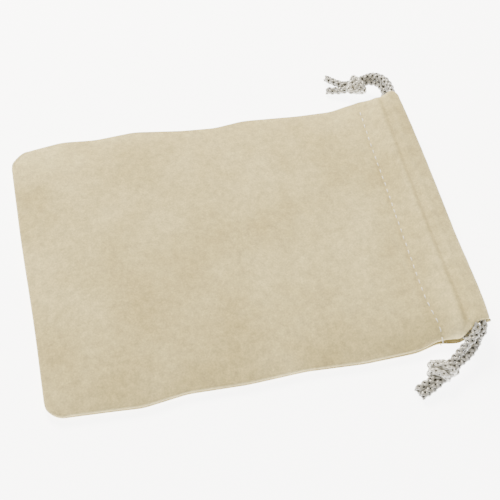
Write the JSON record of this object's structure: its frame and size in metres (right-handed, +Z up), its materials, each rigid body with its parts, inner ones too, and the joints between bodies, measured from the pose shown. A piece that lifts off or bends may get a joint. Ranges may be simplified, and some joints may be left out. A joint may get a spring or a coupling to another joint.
{
  "type": "drawstring gift pouch",
  "caption": "Flat velvet gift pouch whose mouth is gathered shut by opposed braided drawcords running through stitched channels and knotted at each side.",
  "frame": {"origin": "on the surface the pouch lies on, under the middle of the pouch without its free cord ends", "axes": "+X from the closed end to the mouth, +Y across the pouch towards its far side, +Z up from the surface it lies on"},
  "size_m": [0.14, 0.1346, 0.0119],
  "materials": {
    "velvet": "short dense nap, matt with a soft sheen at grazing angles",
    "thread": "off-white sewing thread",
    "braided_cord": "silver-grey braided cord with glossy yarns"
  },
  "bodies": {
    "pouch": {"front_panel": "velvet", "back_panel": "velvet", "front_hem": "velvet", "back_hem": "velvet", "front_hem_stitches": "thread", "back_hem_stitches": "thread", "near_side_stitches": "thread", "far_side_stitches": "thread", "closed_end_stitches": "thread"},
    "near_cord": {"near_cord_loop": "braided_cord", "near_front_strand": "braided_cord", "near_back_strand": "braided_cord", "near_knot": "braided_cord", "near_front_tail": "braided_cord", "near_back_tail": "braided_cord"},
    "far_cord": {"far_cord_loop": "braided_cord", "far_front_strand": "braided_cord", "far_back_strand": "braided_cord", "far_knot": "braided_cord", "far_front_tail": "braided_cord", "far_back_tail": "braided_cord"}
  },
  "joints": [
    {"name": "near_cord_pull", "type": "slide", "parent": "pouch", "child": "near_cord", "axis": [0, -1, 0], "range_m": [0, 0.03], "deforming": ["near_cord_loop"]},
    {"name": "far_cord_pull", "type": "slide", "parent": "pouch", "child": "far_cord", "axis": [0, 1, 0], "range_m": [0, 0.03], "deforming": ["far_cord_loop"]}
  ]
}
